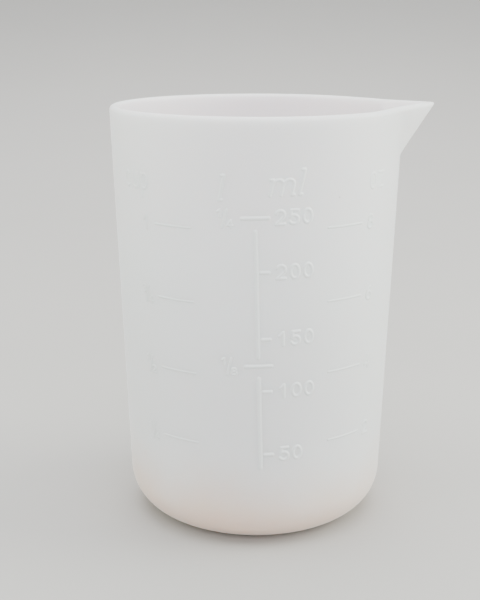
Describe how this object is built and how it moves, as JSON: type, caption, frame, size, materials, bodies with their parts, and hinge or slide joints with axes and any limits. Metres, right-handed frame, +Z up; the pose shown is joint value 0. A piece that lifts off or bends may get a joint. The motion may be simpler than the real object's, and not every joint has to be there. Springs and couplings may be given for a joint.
{
  "type": "measuring and pouring cup",
  "caption": "Soft translucent measuring cup with a slightly flared wall, rounded heel, V-shaped pouring lip and raised volume scales.",
  "frame": {"origin": "centre of the flat underside, on the axis of the round cup", "axes": "+Z up out of the mouth, +X towards the tip of the pouring lip, -Y out of the side with the millilitre scale"},
  "size_m": [0.08, 0.072, 0.1045],
  "materials": {
    "silicone": "translucent milky silicone, satin, smooth moulded skin",
    "raised_marks": "the same silicone, slightly lighter where the raised edges catch the light"
  },
  "bodies": {
    "root": {"cup_wall": "silicone", "cup_base": "silicone", "pouring_lip": "silicone", "scale_line": "raised_marks", "millilitre_ticks": "raised_marks", "millilitre_numerals": "raised_marks", "litre_fractions": "raised_marks", "unit_letters": "raised_marks", "ounce_ticks": "raised_marks", "ounce_numerals": "raised_marks", "cup_ticks": "raised_marks", "cup_fractions": "raised_marks"}
  },
  "joints": []
}
